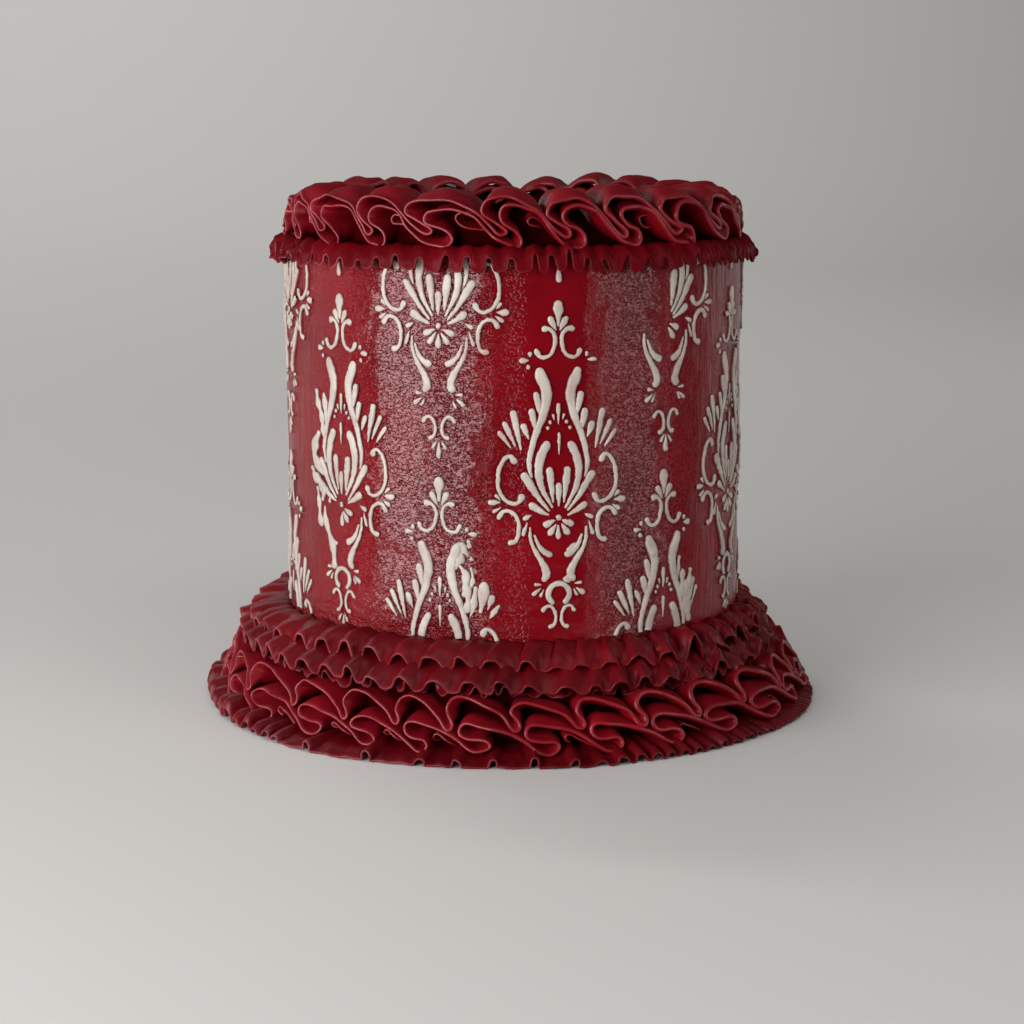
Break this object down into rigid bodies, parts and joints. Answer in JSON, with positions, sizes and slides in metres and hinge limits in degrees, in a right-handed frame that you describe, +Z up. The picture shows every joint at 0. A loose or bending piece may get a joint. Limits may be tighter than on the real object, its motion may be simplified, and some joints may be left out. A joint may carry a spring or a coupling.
{
  "type": "layer cake",
  "caption": "Tall round layer cake in deep red icing, ringed at top and base by piped S-scrolls and ruffles, its side covered in raised ivory stencilled ornaments",
  "frame": {"origin": "centre of the cake's flat underside", "axes": "+Z up along the cake's axis, -Y the front, +X to the right of the front"},
  "size_m": [0.2105, 0.2104, 0.1776],
  "materials": {
    "smooth_red_icing": "satin to glossy smoothed buttercream, with ivory stencilled ornaments",
    "piped_red_icing": "satin piped buttercream",
    "ivory_icing": "soft matte stencilled icing"
  },
  "bodies": {
    "root": {"cake_body": "smooth_red_icing", "top_skirt_ruffle": "piped_red_icing", "top_scroll_border": "piped_red_icing", "base_upper_ruffle": "piped_red_icing", "base_lower_ruffle": "piped_red_icing", "base_scroll_border": "piped_red_icing", "base_skirt_ruffle": "piped_red_icing"}
  },
  "joints": []
}
